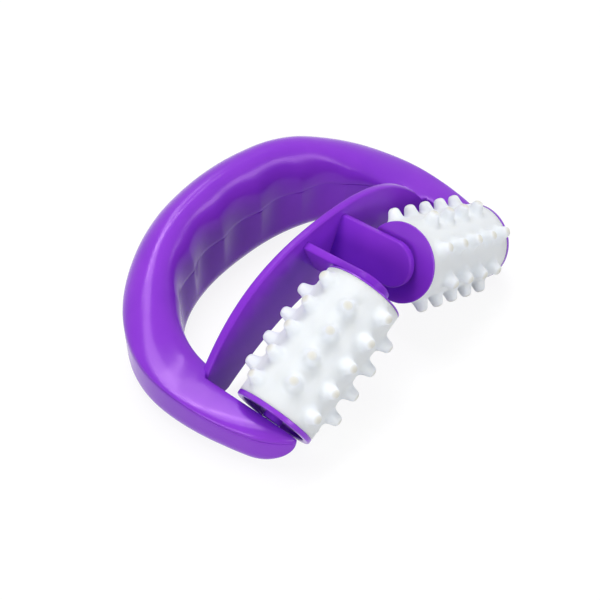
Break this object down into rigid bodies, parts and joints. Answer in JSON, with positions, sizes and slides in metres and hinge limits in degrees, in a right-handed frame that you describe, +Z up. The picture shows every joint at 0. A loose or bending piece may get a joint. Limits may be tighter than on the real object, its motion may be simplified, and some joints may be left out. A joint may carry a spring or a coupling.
{
  "type": "hand-held roller massager",
  "caption": "D-shaped hand grip with finger grooves, carrying two toed-in nubbed rollers that spin on pins between an arched crossbar and the grip's arms.",
  "frame": {"origin": "middle of the footprint, on the flat underside of the grip", "axes": "+Z up off the surface the massager lies on, +Y from the rollers to the palm side of the grip, +X to the right as the rollers are seen from the front"},
  "size_m": [0.1534, 0.1112, 0.0512],
  "materials": {
    "violet_plastic": "polished",
    "white_rubber": "satin",
    "core_plastic": "matte",
    "pin_steel": "drawn"
  },
  "bodies": {
    "handle": {"grip_upper_shell": "violet_plastic", "grip_lower_shell": "violet_plastic", "crossbar": "violet_plastic", "left_roller_pin": "pin_steel", "right_roller_pin": "pin_steel"},
    "left_roller": {"left_roller_sleeve": "white_rubber", "left_roller_core": "core_plastic", "left_roller_outer_cap": "violet_plastic", "left_roller_inner_cap": "violet_plastic"},
    "right_roller": {"right_roller_sleeve": "white_rubber", "right_roller_core": "core_plastic", "right_roller_outer_cap": "violet_plastic", "right_roller_inner_cap": "violet_plastic"}
  },
  "joints": [
    {"name": "left_roller_spin", "type": "hinge", "parent": "handle", "child": "left_roller", "pos_m": [-0.03402, -0.03553, 0.02605], "axis": [-0.9092, -0.0305, -0.4152], "continuous": true},
    {"name": "right_roller_spin", "type": "hinge", "parent": "handle", "child": "right_roller", "pos_m": [0.03402, -0.03553, 0.02605], "axis": [0.9092, -0.0305, -0.4152], "continuous": true}
  ]
}
